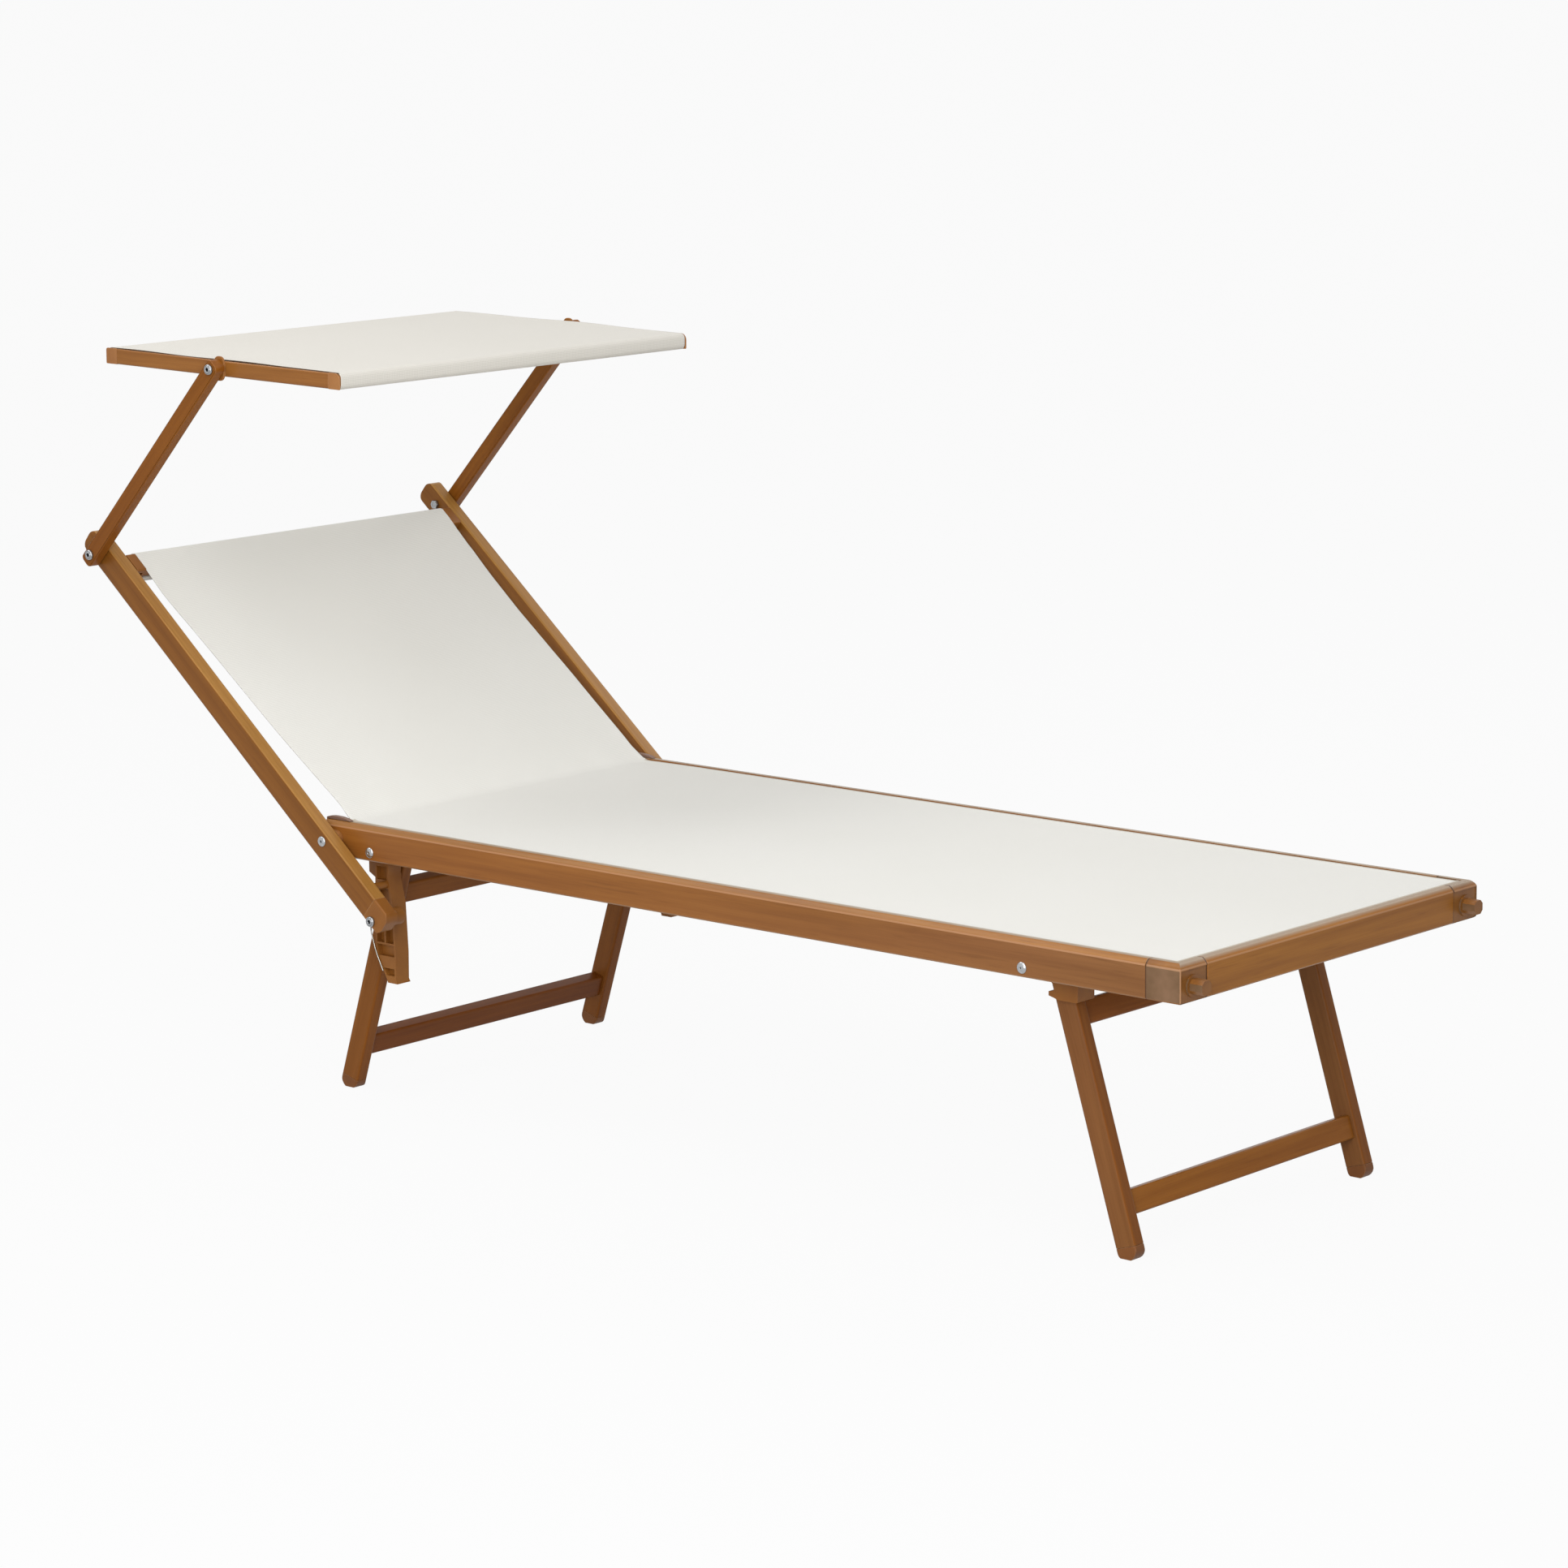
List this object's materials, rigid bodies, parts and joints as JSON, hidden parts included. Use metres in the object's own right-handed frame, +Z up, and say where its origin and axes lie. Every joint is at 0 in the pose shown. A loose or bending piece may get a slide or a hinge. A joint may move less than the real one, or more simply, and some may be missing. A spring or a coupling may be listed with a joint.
{
  "type": "sun lounger with canopy",
  "caption": "Folding sling sun lounger with reclining backrest, folding legs and a small tilting sun canopy on arms at the head end.",
  "frame": {"origin": "on the ground, under the middle of the part's box as pictured (backrest at 40 degrees, canopy up)", "axes": "+X to the foot end, +Y to the left of someone lying on it, +Z up"},
  "size_m": [1.889, 0.7146, 1.0024],
  "materials": {
    "wood_film": "extruded aluminium in a satin brown wood-grain film, grain along each tube",
    "brown_plastic": "moulded nylon in a brown that matches the film, fine satin",
    "corner_plastic": "moulded nylon, greyer brown, satin",
    "sling_fabric": "off-white coated polyester in a fine plain weave",
    "zinc_steel": "zinc-plated steel"
  },
  "bodies": {
    "seat_frame": {"side_rail_left": "wood_film", "side_rail_right": "wood_film", "foot_rail": "wood_film", "foot_corner_left": "corner_plastic", "foot_corner_right": "corner_plastic", "rail_end_cap_left": "brown_plastic", "rail_end_cap_right": "brown_plastic", "rear_cross_tube": "wood_film", "seat_sling": "sling_fabric", "leg_bracket_front_left": "brown_plastic", "leg_bracket_front_right": "brown_plastic", "leg_bracket_rear_left": "brown_plastic", "leg_bracket_rear_right": "brown_plastic", "leg_rivet_front_left": "zinc_steel", "leg_rivet_front_right": "zinc_steel", "leg_rivet_rear_left": "zinc_steel", "leg_rivet_rear_right": "zinc_steel", "backrest_pivot_bolt_left": "zinc_steel", "backrest_pivot_bolt_right": "zinc_steel"},
    "front_legs": {"front_leg_left": "wood_film", "front_leg_right": "wood_film", "front_leg_top_bar": "wood_film", "front_leg_bottom_bar": "wood_film", "front_foot_cap_left": "brown_plastic", "front_foot_cap_right": "brown_plastic"},
    "rear_legs": {"rear_leg_left": "wood_film", "rear_leg_right": "wood_film", "rear_leg_top_bar": "wood_film", "rear_leg_bottom_bar": "wood_film", "rear_foot_cap_left": "brown_plastic", "rear_foot_cap_right": "brown_plastic"},
    "rack_left": {"rack_left": "brown_plastic", "rack_spring_wire_left": "zinc_steel"},
    "rack_right": {"rack_right": "brown_plastic", "rack_spring_wire_right": "zinc_steel"},
    "backrest": {"backrest_rail_left": "wood_film", "backrest_rail_right": "wood_film", "backrest_top_tube": "wood_film", "top_corner_left": "brown_plastic", "top_corner_right": "brown_plastic", "backrest_sling": "sling_fabric", "follower_left": "brown_plastic", "follower_right": "brown_plastic", "follower_bolt_left": "zinc_steel", "follower_bolt_right": "zinc_steel"},
    "canopy_arms": {"canopy_arm_left": "wood_film", "canopy_arm_right": "wood_film", "arm_screw_left": "zinc_steel", "arm_screw_right": "zinc_steel"},
    "canopy": {"canopy_side_bar_left": "wood_film", "canopy_side_bar_right": "wood_film", "canopy_front_tube": "wood_film", "canopy_rear_tube": "wood_film", "canopy_elbow_front_left": "brown_plastic", "canopy_elbow_front_right": "brown_plastic", "canopy_elbow_rear_left": "brown_plastic", "canopy_elbow_rear_right": "brown_plastic", "canopy_cover": "sling_fabric", "canopy_screw_left": "zinc_steel", "canopy_screw_right": "zinc_steel"}
  },
  "joints": [
    {"name": "front_legs_fold", "type": "hinge", "parent": "seat_frame", "child": "front_legs", "pos_m": [0.69158, 0, 0.35075], "axis": [0, 1, 0], "range_deg": [0, 107]},
    {"name": "rear_legs_fold", "type": "hinge", "parent": "seat_frame", "child": "rear_legs", "pos_m": [-0.42102, 0, 0.35075], "axis": [0, -1, 0], "range_deg": [0, 107]},
    {"name": "backrest_recline", "type": "hinge", "parent": "seat_frame", "child": "backrest", "pos_m": [-0.48212, 0, 0.3633], "axis": [0, 1, 0], "range_deg": [-30.5, 28]},
    {"name": "rack_left_swing", "type": "hinge", "parent": "seat_frame", "child": "rack_left", "pos_m": [-0.42102, 0.269, 0.35075], "axis": [0, 1, 0], "range_deg": [-37, 34]},
    {"name": "rack_right_swing", "type": "hinge", "parent": "seat_frame", "child": "rack_right", "pos_m": [-0.42102, -0.269, 0.35075], "axis": [0, 1, 0], "range_deg": [-37, 34]},
    {"name": "canopy_arms_swing", "type": "hinge", "parent": "backrest", "child": "canopy_arms", "pos_m": [-0.91125, 0, 0.71592], "axis": [0, 1, 0], "range_deg": [-100, 40]},
    {"name": "canopy_tilt", "type": "hinge", "parent": "canopy_arms", "child": "canopy", "pos_m": [-0.65238, 0, 0.98586], "axis": [0, 1, 0], "range_deg": [-90, 90]}
  ],
  "couplings": [
    {"joint": "rack_left_swing", "follows": "backrest_recline", "ratio": 1.2},
    {"joint": "rack_right_swing", "follows": "backrest_recline", "ratio": 1.2}
  ]
}
